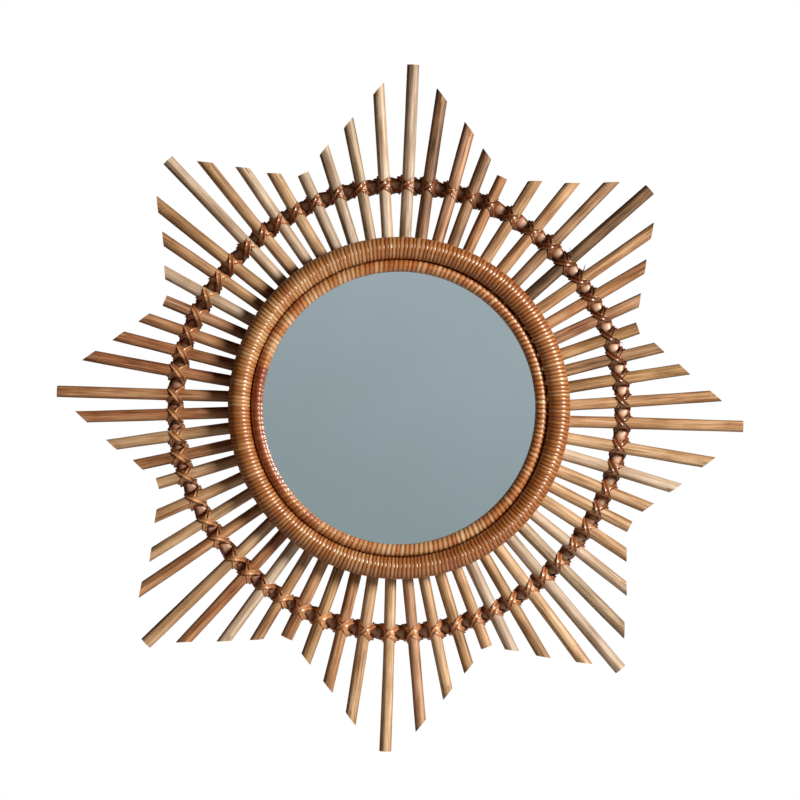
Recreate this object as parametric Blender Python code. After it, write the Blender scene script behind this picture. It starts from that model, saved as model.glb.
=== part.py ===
"""Wall mirror in a rattan sunburst frame, modelled at its real size in metres.

The wall is the plane y = 0 and the mirror faces -Y, with +Z up. The origin is the centre of the
backing board's flat back. From the wall forward lie the board and the outer hoop, then the rods,
then the glass and the main ring, and the inner ring on the edge of the glass.
"""
from math import cos, pi, radians, sin, tan

import bmesh
import bpy
from mathutils import Matrix, Vector

# The star: from the centre to the end of a point's rod, and to the end of a valley's rod.
POINTS = 8
STAR_RADIUS = 0.300
VALLEY_RADIUS = 0.220

# The mirror and the two wound rings round it.
SIGHT_RADIUS = 0.1188
GLASS_THICKNESS = 0.003
GLASS_UNDER_RING = 0.007
INNER_RING_DIAMETER = 0.0105
MAIN_RING_DIAMETER = 0.0196

# The rods. ROD_UNDER_GLASS is how far they reach in below the glass, unless they would crowd
# each other there: ROD_SPACE is the least room that they keep, side by side, at their inner ends.
RODS_PER_POINT = 8
ROD_DIAMETER = 0.0102
ROD_SPACE = 0.0013
ROD_UNDER_GLASS = 0.014

# The board and the outer hoop are equally thick, so that the rods lie level on both.
BACK_LAYER = 0.0095
BOARD_INSET = 0.006
HOOP_RADIUS = 0.196
LASHING_THICKNESS = 0.0013
LASHING_WIDTH = 0.0096
LASHING_WAIST = 0.0042
GLUE_WIDTH = 0.003

# The hanger plate, let into the back of the board near its top.
PLATE_WIDTH = 0.044
PLATE_HEIGHT = 0.022
PLATE_THICKNESS = 0.0015
PLATE_BELOW_EDGE = 0.036
KEYHOLE_ENTRY = 0.0095
KEYHOLE_SLOT = 0.0045
KEYHOLE_RISE = 0.0075
POCKET_MARGIN = 0.002
POCKET_FLOOR = 0.003
SCREW_SPACING = 0.033
SCREW_HEAD = 0.0068
SCREW_SHANK = 0.0032
SCREW_FLOOR = 0.0025

# Pieces that touch keep this gap, and pieces made as one sink this far into each other.
GAP = 0.0003
WELD = 0.0004

# Straight facets of the round pieces.
RING_FACETS = 48
MAIN_RING_SIDES = 12
THIN_SIDES = 8
HOOP_SIDES = 6
SCREW_SIDES = 12

# How far each square-cut rod stands from its even place, in degrees clockwise seen from the
# front: at the main ring, and half way from the valleys out to the points. The frame was laid
# out by eye. The values go round in turn, a point and then the valley after it.
WANDER_AT_RING = (-0.5, -1.2, 1.8, 1.8, 2.1, 2.1, 1.9, 0.4, 0.4, 1.3, 0.7, 2.3, 1.4, 0.2, -0.4, -1.3)
WANDER_OUTSIDE = (-0.2, -0.8, 1.5, 1.4, 0.5, 2.3, 2.1, 0.1, -0.2, 0.8, -0.3, 2.7, 0.2, -0.5, -0.5, -2.4)

# The shade of each rod, round from the top point: eight to a row, each row from a point on.
ROD_SHADES = (
    "pdokokrg"
    "dtorgdgt"
    "ttgtrsok"
    "ppoporst"
    "gtotorsd"
    "trgrgoto"
    "togorstg"
    "psookpkp"
)
SHADE_COLOURS = {
    "p": ("pale_straw", "D7BE9B"),
    "s": ("straw", "CBAE86"),
    "t": ("tan", "BC9166"),
    "g": ("golden", "B68C5A"),
    "o": ("orange_tan", "BE8555"),
    "r": ("reddish", "B28264"),
    "d": ("dark", "876246"),
    "k": ("grey_straw", "A59170"),
}

# Places that follow from the sizes. A depth is counted forward from the wall.
glass_radius = SIGHT_RADIUS + GLASS_UNDER_RING
inner_ring_radius = SIGHT_RADIUS + INNER_RING_DIAMETER / 2
main_ring_radius = SIGHT_RADIUS + INNER_RING_DIAMETER + GAP + MAIN_RING_DIAMETER / 2
main_ring_edge = main_ring_radius + MAIN_RING_DIAMETER / 2
board_radius = main_ring_edge - BOARD_INSET
rod_count = POINTS * RODS_PER_POINT
crowded_radius = rod_count * (ROD_DIAMETER + ROD_SPACE) / (2 * pi)
rod_start = max(glass_radius - ROD_UNDER_GLASS, crowded_radius)
rod_depth = BACK_LAYER + GAP + ROD_DIAMETER / 2
front_of_rods = BACK_LAYER + GAP + ROD_DIAMETER
glass_back = front_of_rods + GAP
main_ring_depth = front_of_rods + GAP + MAIN_RING_DIAMETER / 2
inner_ring_depth = glass_back + GLASS_THICKNESS + GAP + INNER_RING_DIAMETER / 2
plate_centre = board_radius - PLATE_BELOW_EDGE

# The feet of a lashing stand on the flat that the hoop turns towards the rods.
lashing_foot = BACK_LAYER * tan(pi / HOOP_SIDES) - 4 * GAP

# From one point round to the next valley.
steps_per_side = RODS_PER_POINT // 2
side_angle = pi / POINTS


def srgb(code):
    """A colour written as a hex code, as the linear values that a shader takes."""
    parts = [int(code[i:i + 2], 16) / 255 for i in (0, 2, 4)]
    return [p / 12.92 if p <= 0.04045 else ((p + 0.055) / 1.055) ** 2.4 for p in parts] + [1.0]


def material(name, code, roughness, metallic=0.0):
    """A plain material, made once for each name."""
    found = bpy.data.materials.get(name)
    if found:
        return found
    made = bpy.data.materials.new(name)
    made.use_nodes = True
    shader = made.node_tree.nodes["Principled BSDF"]
    shader.inputs["Base Color"].default_value = srgb(code)
    shader.inputs["Roughness"].default_value = roughness
    shader.inputs["Metallic"].default_value = metallic
    made.diffuse_color = srgb(code)
    return made


def finish(mesh_data, name, look=None, guide=False):
    """Turn a bmesh into an object. A guide only cuts or adds to other objects."""
    bmesh.ops.recalc_face_normals(mesh_data, faces=mesh_data.faces)
    mesh = bpy.data.meshes.new(name)
    mesh_data.to_mesh(mesh)
    mesh_data.free()
    made = bpy.data.objects.new(name, mesh)
    bpy.context.scene.collection.objects.link(made)
    if look:
        mesh.materials.append(look)
    if guide:
        made.hide_render = True
        made.display_type = "WIRE"
    else:
        mesh.shade_smooth()
        mesh.set_sharp_from_angle(angle=radians(35))
    return made


def combine(made, guide, operation):
    """Add a guide's solid to an object, or cut it away, with a Boolean modifier."""
    step = made.modifiers.new(guide.name, "BOOLEAN")
    step.operation = operation
    step.solver = "EXACT"
    step.object = guide


def direction(angle):
    """The way out from the centre at an angle clockwise from the top, seen from the front."""
    return Vector((sin(angle), 0.0, cos(angle)))


def prism(mesh_data, sides, apothem, back, front, centre=(0.0, 0.0)):
    """A straight prism along Y between two depths, flat side up, round a point of the XZ plane."""
    turn = Matrix.Rotation(pi / sides, 4, "Z")
    lie_down = Matrix.Rotation(pi / 2, 4, "X")
    place = Matrix.Translation((centre[0], -(back + front) / 2, centre[1]))
    bmesh.ops.create_cone(
        mesh_data,
        cap_ends=True,
        segments=sides,
        radius1=apothem / cos(pi / sides),
        radius2=apothem / cos(pi / sides),
        depth=front - back,
        matrix=place @ lie_down @ turn,
    )


def block(mesh_data, low, high):
    """A box between two corners (x, depth, z)."""
    size = [b - a for a, b in zip(low, high)]
    middle = [(a + b) / 2 for a, b in zip(low, high)]
    place = Matrix.Translation((middle[0], -middle[1], middle[2]))
    bmesh.ops.create_cube(mesh_data, size=1.0, matrix=place @ Matrix.Diagonal((*size, 1.0)))


def wound_ring(name, radius, depth, diameter, sides, look):
    """A round hoop: its section has a flat at the back and is spun round the centre."""
    made = bmesh.new()
    place = Matrix.Translation((radius, -depth, 0.0))
    section = bmesh.ops.create_circle(
        made,
        segments=sides,
        radius=diameter / 2 / cos(pi / sides),
        matrix=place @ Matrix.Rotation(pi / sides, 4, "Z"),
    )
    edges = {edge for vertex in section["verts"] for edge in vertex.link_edges}
    bmesh.ops.spin(
        made,
        geom=section["verts"] + list(edges),
        cent=(0.0, 0.0, 0.0),
        axis=(0.0, 1.0, 0.0),
        angle=2 * pi,
        steps=RING_FACETS,
        use_merge=True,
    )
    bmesh.ops.remove_doubles(made, verts=made.verts, dist=0.00001)
    return finish(made, name, look)


def disc(name, radius, back, thickness, look):
    """A flat round plate that faces the room."""
    made = bmesh.new()
    prism(made, RING_FACETS, radius * cos(pi / RING_FACETS), back, back + thickness)
    return finish(made, name, look)


def wandered(number, wander):
    """The angle of a rod: square-cut rods stand where laid, the rest evenly between them."""
    before = number // steps_per_side
    share = number % steps_per_side / steps_per_side
    start = before * side_angle + radians(wander[before % len(wander)])
    end = (before + 1) * side_angle + radians(wander[(before + 1) % len(wander)])
    return start + (end - start) * share


def rod_line(number):
    """Where a rod's middle line leaves the main ring, and the way that it runs."""
    outside_radius = (STAR_RADIUS + VALLEY_RADIUS) / 2
    at_ring = direction(wandered(number, WANDER_AT_RING)) * main_ring_edge
    outside = direction(wandered(number, WANDER_OUTSIDE)) * outside_radius
    return at_ring, (outside - at_ring).normalized()


def rod_end(number):
    """How far out a rod ends, and how far its cut is turned from square.

    The star's side runs from the corner of a point's rod to the middle of the valley's rod.
    """
    steps = number % (2 * steps_per_side)
    side = 1 if steps < steps_per_side else -1
    steps_from_point = min(steps, 2 * steps_per_side - steps)
    if steps_from_point == 0:
        return STAR_RADIUS, 0.0
    if steps_from_point == steps_per_side:
        return VALLEY_RADIUS, 0.0
    from_point = side_angle * steps_from_point / steps_per_side
    corner = Vector((ROD_DIAMETER / 2, STAR_RADIUS))
    valley = Vector((sin(side_angle), cos(side_angle))) * VALLEY_RADIUS
    along = (valley - corner).normalized()
    square_to_side = Vector((-along.y, along.x))
    out = Vector((sin(from_point), cos(from_point)))
    reach = square_to_side.dot(corner) / square_to_side.dot(out)
    return reach, side * out.angle(square_to_side)


def rod_solid(mesh_data, number):
    """One rod, an eight-sided bar with a flat underneath, cut off at its end."""
    at_ring, along = rod_line(number)
    reach, cut_turn = rod_end(number)
    across = along.cross(Vector((0.0, 1.0, 0.0)))
    axes = Matrix((across, Vector((0.0, 1.0, 0.0)), along)).transposed().to_4x4()
    spare = ROD_DIAMETER * tan(abs(cut_turn))
    start = rod_start - main_ring_edge
    end = reach - main_ring_edge + spare
    middle = at_ring + along * (start + end) / 2 + Vector((0.0, -rod_depth, 0.0))
    bar = bmesh.ops.create_cone(
        mesh_data,
        cap_ends=True,
        segments=THIN_SIDES,
        radius1=ROD_DIAMETER / 2 / cos(pi / THIN_SIDES),
        radius2=ROD_DIAMETER / 2 / cos(pi / THIN_SIDES),
        depth=end - start,
        matrix=Matrix.Translation(middle) @ axes @ Matrix.Rotation(pi / THIN_SIDES, 4, "Z"),
    )
    if cut_turn:
        faces = list({face for vertex in bar["verts"] for face in vertex.link_faces})
        edges = list({edge for face in faces for edge in face.edges})
        normal = Matrix.Rotation(cut_turn, 3, "Y") @ along
        cut = bmesh.ops.bisect_plane(
            mesh_data,
            geom=bar["verts"] + edges + faces,
            plane_co=at_ring + along * (reach - main_ring_edge) + Vector((0.0, -rod_depth, 0.0)),
            plane_no=normal,
            clear_outer=True,
        )
        rim = [item for item in cut["geom_cut"] if isinstance(item, bmesh.types.BMEdge)]
        bmesh.ops.contextual_create(mesh_data, geom=rim)


def lashing_solid(mesh_data, number):
    """The crossed peel over one rod, as one band: broad on the hoop, narrow over the rod."""
    at_ring, along = rod_line(number)
    across = along.cross(Vector((0.0, 1.0, 0.0)))
    crossing = at_ring + along * (HOOP_RADIUS - main_ring_edge)
    foot = BACK_LAYER / 2
    shoulder = tan(pi / THIN_SIDES)
    rows = []
    for side, height, width in (
        (-1.0, None, lashing_foot),
        (-1.0, shoulder, LASHING_WIDTH),
        (-shoulder, 1.0, LASHING_WAIST),
        (shoulder, 1.0, LASHING_WAIST),
        (1.0, shoulder, LASHING_WIDTH),
        (1.0, None, lashing_foot),
    ):
        row = []
        for apothem, lengthwise in (
            (ROD_DIAMETER / 2 + GAP, -1),
            (ROD_DIAMETER / 2 + GAP, 1),
            (ROD_DIAMETER / 2 + GAP + LASHING_THICKNESS, 1),
            (ROD_DIAMETER / 2 + GAP + LASHING_THICKNESS, -1),
        ):
            depth = foot if height is None else rod_depth + apothem * height
            place = crossing + across * apothem * side + along * lengthwise * width / 2
            row.append(mesh_data.verts.new(place + Vector((0.0, -depth, 0.0))))
        rows.append(row)
    for first, second in zip(rows, rows[1:]):
        for i in range(4):
            j = (i + 1) % 4
            mesh_data.faces.new((first[i], first[j], second[j], second[i]))
    mesh_data.faces.new(rows[0])
    mesh_data.faces.new(rows[-1])


def glue_solid(mesh_data, number):
    """The bead of glue that beds a square-cut rod on the board."""
    at_ring, along = rod_line(number)
    across = along.cross(Vector((0.0, 1.0, 0.0)))
    axes = Matrix((across, Vector((0.0, 1.0, 0.0)), along)).transposed().to_4x4()
    start = rod_start - main_ring_edge + GLUE_WIDTH
    end = -BOARD_INSET - GLUE_WIDTH
    low = BACK_LAYER - WELD
    high = BACK_LAYER + GAP + WELD
    middle = at_ring + along * (start + end) / 2 + Vector((0.0, -(low + high) / 2, 0.0))
    size = Matrix.Diagonal((GLUE_WIDTH, high - low, end - start, 1.0))
    bmesh.ops.create_cube(mesh_data, size=1.0, matrix=Matrix.Translation(middle) @ axes @ size)


def keyhole_solids():
    """The keyhole's two cutters: the round entry, and the slot that rises from it."""
    low = plate_centre - KEYHOLE_RISE / 2
    high = plate_centre + KEYHOLE_RISE / 2 + KEYHOLE_SLOT / 2
    front = PLATE_THICKNESS + GAP
    entry = bmesh.new()
    prism(entry, SCREW_SIDES, KEYHOLE_ENTRY / 2, -GAP, front, (0.0, low))
    slot = bmesh.new()
    block(slot, (-KEYHOLE_SLOT / 2, -GAP, low), (KEYHOLE_SLOT / 2, front, high))
    return entry, slot


def build_backing_board():
    """The board, with the square-cut rods glued to it and the hanger's seat cut in its back."""
    look = material("backing_board", "B79B74", 0.7)
    board = disc("backing_board", board_radius, 0.0, BACK_LAYER, look)

    glue = bmesh.new()
    rods = bmesh.new()
    for number in range(0, rod_count, steps_per_side):
        glue_solid(glue, number)
        rod_solid(rods, number)
    combine(board, finish(glue, "guide_glue", guide=True), "UNION")
    combine(board, finish(rods, "guide_square_rods", guide=True), "UNION")

    seat = bmesh.new()
    half_width = PLATE_WIDTH / 2 + GAP
    half_height = PLATE_HEIGHT / 2 + GAP
    block(
        seat,
        (-half_width, -GAP, plate_centre - half_height),
        (half_width, PLATE_THICKNESS + GAP, plate_centre + half_height),
    )
    combine(board, finish(seat, "guide_seat", guide=True), "DIFFERENCE")

    pocket = bmesh.new()
    reach = KEYHOLE_ENTRY / 2 + POCKET_MARGIN
    block(
        pocket,
        (-reach, -GAP, plate_centre - KEYHOLE_RISE / 2 - reach),
        (reach, BACK_LAYER - POCKET_FLOOR, plate_centre + KEYHOLE_RISE / 2 + reach),
    )
    combine(board, finish(pocket, "guide_pocket", guide=True), "DIFFERENCE")

    for side in (-1, 1):
        hole = bmesh.new()
        screw_solid(hole, side, GAP)
        combine(board, finish(hole, f"guide_screw_hole_{side + 2}", guide=True), "DIFFERENCE")


def screw_solid(mesh_data, side, clearance):
    """A countersunk screw, or with a clearance the hole for it, its head flush with the wall."""
    head = SCREW_HEAD / 2 + clearance
    shank = SCREW_SHANK / 2 + clearance
    neck = (SCREW_HEAD - SCREW_SHANK) / 2 + clearance
    tip = BACK_LAYER - SCREW_FLOOR + clearance
    top = GAP / 2 if clearance == 0 else -GAP
    profile = ((0.0, top), (head, top), (head, GAP), (shank, neck), (shank, tip), (0.0, tip))
    outline = [mesh_data.verts.new((radius, -depth, 0.0)) for radius, depth in profile]
    edges = [mesh_data.edges.new(pair) for pair in zip(outline, outline[1:])]
    bmesh.ops.spin(
        mesh_data,
        geom=outline + edges,
        cent=(0.0, 0.0, 0.0),
        axis=(0.0, 1.0, 0.0),
        angle=2 * pi,
        steps=SCREW_SIDES,
        use_merge=True,
    )
    bmesh.ops.remove_doubles(mesh_data, verts=mesh_data.verts, dist=0.00001)
    place = Vector((side * SCREW_SPACING / 2, 0.0, plate_centre))
    bmesh.ops.translate(mesh_data, verts=mesh_data.verts, vec=place)


def build_hanger():
    """The steel plate with its keyhole, flush with the board's back, and its two screws."""
    steel = material("zinc_plated_steel", "B9BBBD", 0.35, 1.0)
    plate_shape = bmesh.new()
    block(
        plate_shape,
        (-PLATE_WIDTH / 2, 0.0, plate_centre - PLATE_HEIGHT / 2),
        (PLATE_WIDTH / 2, PLATE_THICKNESS, plate_centre + PLATE_HEIGHT / 2),
    )
    plate = finish(plate_shape, "hanger_plate", steel)
    entry, slot = keyhole_solids()
    combine(plate, finish(entry, "guide_keyhole_entry", guide=True), "DIFFERENCE")
    combine(plate, finish(slot, "guide_keyhole_slot", guide=True), "DIFFERENCE")
    for side in (-1, 1):
        number = (side + 3) // 2
        hole = bmesh.new()
        screw_solid(hole, side, GAP)
        combine(plate, finish(hole, f"guide_plate_hole_{number}", guide=True), "DIFFERENCE")
        screw = bmesh.new()
        screw_solid(screw, side, 0.0)
        finish(screw, f"hanger_screw_{number}", steel)


def build_rods():
    """The rods that are cut slantwise along the star's sides, each an object of its own."""
    for number in range(rod_count):
        if number % steps_per_side == 0:
            continue
        shade, code = SHADE_COLOURS[ROD_SHADES[number % len(ROD_SHADES)]]
        rod = bmesh.new()
        rod_solid(rod, number)
        finish(rod, f"rod_{number + 1:02d}", material(f"rattan_{shade}", code, 0.55))


def build_outer_hoop():
    """The hoop behind the rods, with the peel that lashes every rod to it."""
    look = material("hoop_peel", "6B3A1E", 0.35)
    hoop = wound_ring("outer_hoop", HOOP_RADIUS, BACK_LAYER / 2, BACK_LAYER, HOOP_SIDES, look)
    lashings = bmesh.new()
    for number in range(rod_count):
        lashing_solid(lashings, number)
    combine(hoop, finish(lashings, "guide_lashings", guide=True), "UNION")


def build_mirror():
    """The glass, and the two wound rings that frame it."""
    silver = material("mirror_glass", "95A6AB", 0.02, 1.0)
    disc("mirror_glass", glass_radius, glass_back, GLASS_THICKNESS, silver)
    wound_ring(
        "inner_ring",
        inner_ring_radius,
        inner_ring_depth,
        INNER_RING_DIAMETER,
        THIN_SIDES,
        material("inner_ring_peel", "96582A", 0.35),
    )
    wound_ring(
        "main_ring",
        main_ring_radius,
        main_ring_depth,
        MAIN_RING_DIAMETER,
        MAIN_RING_SIDES,
        material("main_ring_peel", "B0702F", 0.35),
    )


for old in list(bpy.data.objects):
    bpy.data.objects.remove(old)
build_backing_board()
build_hanger()
build_rods()
build_outer_hoop()
build_mirror()
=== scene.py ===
"""The looks of a wall mirror in a rattan sunburst frame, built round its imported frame."""
import random
from math import atan2, cos, pi, radians, sin, tan

import bmesh
import bpy
from mathutils import Matrix, Vector, noise


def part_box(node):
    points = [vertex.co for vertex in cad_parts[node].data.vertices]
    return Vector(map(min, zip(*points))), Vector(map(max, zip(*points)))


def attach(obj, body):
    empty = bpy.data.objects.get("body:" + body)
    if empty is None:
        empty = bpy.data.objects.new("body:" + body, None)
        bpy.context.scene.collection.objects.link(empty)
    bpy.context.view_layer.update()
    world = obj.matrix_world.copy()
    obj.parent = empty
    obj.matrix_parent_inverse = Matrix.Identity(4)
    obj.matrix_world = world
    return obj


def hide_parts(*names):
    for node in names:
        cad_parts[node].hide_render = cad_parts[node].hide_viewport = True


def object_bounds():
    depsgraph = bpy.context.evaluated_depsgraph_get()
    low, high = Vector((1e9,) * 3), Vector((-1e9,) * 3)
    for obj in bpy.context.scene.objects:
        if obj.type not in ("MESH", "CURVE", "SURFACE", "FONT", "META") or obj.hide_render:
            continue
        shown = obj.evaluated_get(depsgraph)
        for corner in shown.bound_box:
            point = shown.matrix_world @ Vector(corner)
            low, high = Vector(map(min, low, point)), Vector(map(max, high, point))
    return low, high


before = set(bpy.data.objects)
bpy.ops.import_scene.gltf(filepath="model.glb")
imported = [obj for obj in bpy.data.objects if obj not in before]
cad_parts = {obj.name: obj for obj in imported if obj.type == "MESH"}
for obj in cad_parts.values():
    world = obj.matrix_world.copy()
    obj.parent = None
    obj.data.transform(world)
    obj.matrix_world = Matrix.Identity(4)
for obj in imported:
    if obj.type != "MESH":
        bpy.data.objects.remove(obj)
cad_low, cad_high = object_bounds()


# The view, the light and the floor.
# The mirror hangs square to the camera, turned a little clockwise. One soft lamp from the right
# does most of the lighting, and the pale room around fills the shadows.
PIXEL = 0.0008734
VIEW_DISTANCE = 4.0
SENSOR = 0.036
FRAME_PIXELS = 800
ROLL = radians(2.5)
CENTRE_LEFT_PIXELS = 1
CENTRE_DOWN_PIXELS = 8
LAMP_CLOCK = radians(68)
LAMP_OFF_AXIS = radians(54)
LAMP_DISTANCE = 2.4
LAMP_SIZE = 0.80
LAMP_WATTS = 88
LAMP_COLOUR = "FFF6EA"
ROOM_STRENGTH = 0.10
ROOM_COLOURS = ((0.0, "A06A50"), (0.5, "B8876A"), (1.0, "D9A98C"))


def linear(code):
    """A colour written as an sRGB hex code, as the linear values that a shader takes."""
    parts = [int(code[i:i + 2], 16) / 255 for i in (0, 2, 4)]
    return [p / 12.92 if p <= 0.04045 else ((p + 0.055) / 1.055) ** 2.4 for p in parts] + [1.0]


def feed(tree, node, inputs):
    """Give a node its inputs: plain values, outputs, or nodes for their first output."""
    for name, value in inputs.items():
        if isinstance(value, bpy.types.Node):
            value = value.outputs[0]
        if isinstance(value, bpy.types.NodeSocket):
            tree.links.new(value, node.inputs[name])
        else:
            node.inputs[name].default_value = value


def add(tree, kind, inputs=None, stops=(), **settings):
    """Add a shader node of a kind, such as TexNoise, with its settings and inputs.

    Stops are for a colour ramp: places from 0 to 1, each with a hex colour or a plain grey value.
    """
    made = tree.nodes.new("ShaderNode" + kind)
    for name, value in settings.items():
        setattr(made, name, value)
    feed(tree, made, inputs or {})
    marks = made.color_ramp.elements if stops else ()
    while len(marks) < len(stops):
        marks.new(1.0)
    for mark, (place, colour) in zip(marks, stops):
        mark.position = place
        mark.color = linear(colour) if isinstance(colour, str) else (colour, colour, colour, 1.0)
    return made


def link_object(name, data):
    """Put a mesh, a lamp or a camera into the scene."""
    made = bpy.data.objects.new(name, data)
    bpy.context.scene.collection.objects.link(made)
    return made


bpy.context.scene.view_settings.view_transform = "Standard"
rod_low, rod_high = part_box("rod_02")
rod_plane = (rod_low.y + rod_high.y) / 2

camera = link_object("camera", bpy.data.cameras.new("camera"))
camera.data.sensor_width = SENSOR * 1000
camera.data.lens = SENSOR * 1000 * VIEW_DISTANCE / (FRAME_PIXELS * PIXEL)
look = Matrix.Rotation(pi / 2, 4, "X") @ Matrix.Rotation(ROLL, 4, "Z")
aside = look @ Vector((CENTRE_LEFT_PIXELS * PIXEL, CENTRE_DOWN_PIXELS * PIXEL, 0.0))
camera.matrix_world = Matrix.Translation(aside + Vector((0.0, rod_plane - VIEW_DISTANCE, 0.0))) @ look
bpy.context.scene.camera = camera

lamp = link_object("lamp", bpy.data.lights.new("lamp", "AREA"))
lamp.data.shape = "DISK"
lamp.data.size = LAMP_SIZE
lamp.data.energy = LAMP_WATTS
lamp.data.color = linear(LAMP_COLOUR)[:3]
towards_lamp = Vector((
    sin(LAMP_OFF_AXIS) * sin(LAMP_CLOCK),
    -cos(LAMP_OFF_AXIS),
    sin(LAMP_OFF_AXIS) * cos(LAMP_CLOCK),
))
lamp.matrix_world = (
    Matrix.Translation(towards_lamp * LAMP_DISTANCE)
    @ towards_lamp.to_track_quat("Z", "Y").to_matrix().to_4x4()
)

room = bpy.data.worlds.new("pale_room")
bpy.context.scene.world = room
room.use_nodes = True
tree = room.node_tree
tree.nodes.clear()
direction = add(tree, "TexCoord").outputs["Generated"]
upward = add(tree, "SeparateXYZ", {"Vector": direction})
height = add(tree, "MapRange", {"Value": upward.outputs["Z"], "From Min": -1.0, "From Max": 1.0})
walls = add(tree, "ValToRGB", {"Fac": height}, ROOM_COLOURS)
fill = add(tree, "Background", {"Color": walls, "Strength": ROOM_STRENGTH})
paper = add(tree, "Background", {"Color": (1.0, 1.0, 1.0, 1.0), "Strength": 1.0})
seen = add(tree, "LightPath").outputs["Is Camera Ray"]
both = add(tree, "MixShader", {0: seen, 1: fill, 2: paper})
add(tree, "OutputWorld", {"Surface": both})

# A pale round of floor well below the mirror, and behind the camera the grey-blue dusk that the
# glass throws back, lighter towards the upper right.
FLOOR_DROP = 0.30
FLOOR_RADIUS = 1.1
FLOOR_FACETS = 64
DUSK_DISTANCE = 4.6
DUSK_SIZE = 0.68
DUSK_STRENGTH = 1.08
DUSK_COLOURS = ((0.0, "89969A"), (1.0, "9AA6AC"))

# The dusk grows lighter upwards, and by this share as much to the right, up to this far from its
# middle.
DUSK_LEAN = 0.45
DUSK_SPREAD = 0.22


def plain_material(name, code, roughness):
    """A plain surface of one colour and one roughness."""
    made = bpy.data.materials.new(name)
    made.use_nodes = True
    tree = made.node_tree
    feed(tree, tree.nodes["Principled BSDF"], {"Base Color": linear(code), "Roughness": roughness})
    return made


def mesh_from(name, shape):
    """A mesh made of a finished bmesh, which is freed."""
    mesh = bpy.data.meshes.new(name)
    shape.to_mesh(mesh)
    shape.free()
    return mesh


shape = bmesh.new()
bmesh.ops.create_circle(
    shape,
    cap_ends=True,
    segments=FLOOR_FACETS,
    radius=FLOOR_RADIUS,
    matrix=Matrix.Translation((0.0, 0.0, cad_low.z - FLOOR_DROP)),
)
mesh = mesh_from("floor", shape)
mesh.materials.append(plain_material("pale_floor", "E4E3E0", 0.8))
link_object("floor", mesh)

shape = bmesh.new()
bmesh.ops.create_grid(
    shape,
    x_segments=1,
    y_segments=1,
    size=DUSK_SIZE / 2,
    matrix=Matrix.Translation((0.0, -DUSK_DISTANCE, 0.0)) @ Matrix.Rotation(-pi / 2, 4, "X"),
)
mesh = mesh_from("dusk", shape)
dusk_material = bpy.data.materials.new("dusk")
dusk_material.use_nodes = True
tree = dusk_material.node_tree
tree.nodes.clear()
spot = add(tree, "SeparateXYZ", {"Vector": add(tree, "TexCoord").outputs["Object"]})
slope = add(tree, "Math", {
    0: spot.outputs["X"],
    1: DUSK_LEAN,
    2: spot.outputs["Z"],
}, operation="MULTIPLY_ADD")
share = add(tree, "MapRange", {"Value": slope, "From Min": -DUSK_SPREAD, "From Max": DUSK_SPREAD})
glow = add(tree, "ValToRGB", {"Fac": share}, DUSK_COLOURS)
lit = add(tree, "Emission", {"Color": glow, "Strength": DUSK_STRENGTH})
add(tree, "OutputMaterial", {"Surface": lit})
mesh.materials.append(dusk_material)
dusk = link_object("dusk", mesh)
dusk.visible_camera = False
dusk.visible_diffuse = False
dusk.visible_shadow = False


# The backing board.
# A round of thin plywood with a sanded edge. The inner ends of the rods are glued on its front,
# and the hanger's plate is let into a seat cut in its back, over a pocket for the screw's head.
BOARD_FACETS = 144
BOARD_EDGE_BEVEL = 0.0008
PLATE_CLEARANCE = 0.0003
POCKET_MARGIN = 0.002
POCKET_FLOOR = 0.003
KEYHOLE_ENTRY = 0.0095
KEYHOLE_RISE = 0.0075
MAIN_RING_OVERHANG = 0.006
PLY_THICKNESS = 0.0019

# How far a cutter stands out past the face that it cuts.
CUTTER_PAST = 0.001

# An edge that turns by more than this, in radians, is a rim.
RIM_ANGLE = 1.0

# The plywood's pattern in repeats a metre, across its grain and along it: fibres 1.4 mm wide and
# 36 mm long, and figure 11 mm wide and 140 mm long.
PLY_FIBRES = (700.0, 700.0, 28.0)
PLY_FIGURE = (90.0, 90.0, 7.0)
PLY_FIBRE_DEPTH = 0.00015

# The plywood shows its face where its normal points this much or more to the wall or to the room,
# and its plies elsewhere.
FACE_FLATNESS = 0.8


def piece(name, shape, slot, *looks, sharp=None):
    """Turn a finished bmesh into a piece that rides with the mirror."""
    mesh = mesh_from(name, shape)
    for look in looks:
        mesh.materials.append(look)
    if sharp:
        mesh.shade_smooth()
        mesh.set_sharp_from_angle(angle=radians(sharp))
    made = link_object(name, mesh)
    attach(made, "root")
    return made


def surface(name):
    """A new material with its tree and its Principled shader."""
    made = bpy.data.materials.new(name)
    made.use_nodes = True
    return made, made.node_tree, made.node_tree.nodes["Principled BSDF"]


def plate_shape(facets, radius, back, front, bevel, segments):
    """A round plate between two places from the wall, with its rims bevelled."""
    shape = bmesh.new()
    bmesh.ops.create_circle(
        shape,
        cap_ends=True,
        segments=facets,
        radius=radius,
        matrix=Matrix.Translation((0.0, back, 0.0)) @ Matrix.Rotation(pi / 2, 4, "X"),
    )
    grown = bmesh.ops.extrude_face_region(shape, geom=shape.faces[:])
    corners = [item for item in grown["geom"] if isinstance(item, bmesh.types.BMVert)]
    bmesh.ops.translate(shape, verts=corners, vec=(0.0, front - back, 0.0))
    bmesh.ops.recalc_face_normals(shape, faces=shape.faces)
    bmesh.ops.bevel(
        shape,
        geom=[edge for edge in shape.edges if edge.calc_face_angle(0.0) > RIM_ANGLE],
        offset=bevel,
        segments=segments,
        profile=0.5,
        affect="EDGES",
        material=-1,
    )
    return shape


def cutter_box(low, high):
    """A box between two corners, to cut with."""
    size = [b - a for a, b in zip(low, high)]
    middle = [(a + b) / 2 for a, b in zip(low, high)]
    shape = bmesh.new()
    place = Matrix.Translation(middle) @ Matrix.Diagonal((*size, 1.0))
    bmesh.ops.create_cube(shape, size=1.0, matrix=place)
    return link_object("cutter", mesh_from("cutter", shape))


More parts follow.
